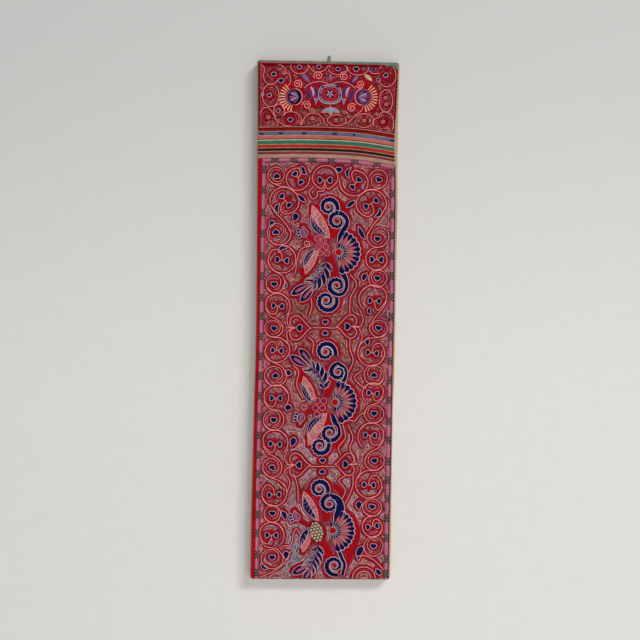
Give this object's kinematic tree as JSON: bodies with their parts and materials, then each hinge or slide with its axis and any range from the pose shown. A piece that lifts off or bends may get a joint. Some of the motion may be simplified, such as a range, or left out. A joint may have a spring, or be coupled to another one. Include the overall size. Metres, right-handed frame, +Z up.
{
  "type": "embroidered textile wall hanging on a stretcher frame with a wall hook",
  "caption": "Tall narrow embroidered wall hanging: couched silk panels joined by plain strips, sewn to a cotton covered stretcher frame that hangs from a steel wall hook.",
  "frame": {"origin": "on the wall, on the hook's flat back face, at the height of the hanging's top edge", "axes": "+Z up along the hanging, the embroidered face towards -Y, +Y into the wall, +X to the right as seen from the front"},
  "size_m": [0.1711, 0.0202, 0.633],
  "materials": {
    "cotton": "plain weave, matt",
    "green_silk": "fine weave, slight sheen",
    "upper_embroidery": "couched silk thread, slight sheen",
    "lower_embroidery": "couched silk thread, slight sheen",
    "red_silk": "fine weave, slight sheen",
    "blue_silk": "fine weave, slight sheen",
    "coral_silk": "fine weave, slight sheen",
    "orange_silk": "fine weave, slight sheen",
    "black_silk": "fine weave, slight sheen",
    "mauve_silk": "fine weave, slight sheen",
    "cream_silk": "fine weave, slight sheen",
    "pine": "planed, unvarnished",
    "steel": "brushed"
  },
  "bodies": {
    "root": {"backing_cloth": "cotton", "heading_strip": "green_silk", "upper_panel": "upper_embroidery", "strip_red": "red_silk", "strip_blue": "blue_silk", "strip_coral": "coral_silk", "strip_green": "green_silk", "strip_orange": "orange_silk", "strip_black": "black_silk", "strip_mauve": "mauve_silk", "strip_cream": "cream_silk", "binding_left": "red_silk", "binding_right": "red_silk", "border_top": "mauve_silk", "border_left": "mauve_silk", "border_right": "mauve_silk", "lower_panel": "lower_embroidery", "stretcher_top": "pine", "stretcher_right": "pine", "stretcher_bottom": "pine", "stretcher_left": "pine", "wall_hook": "steel"}
  },
  "joints": []
}
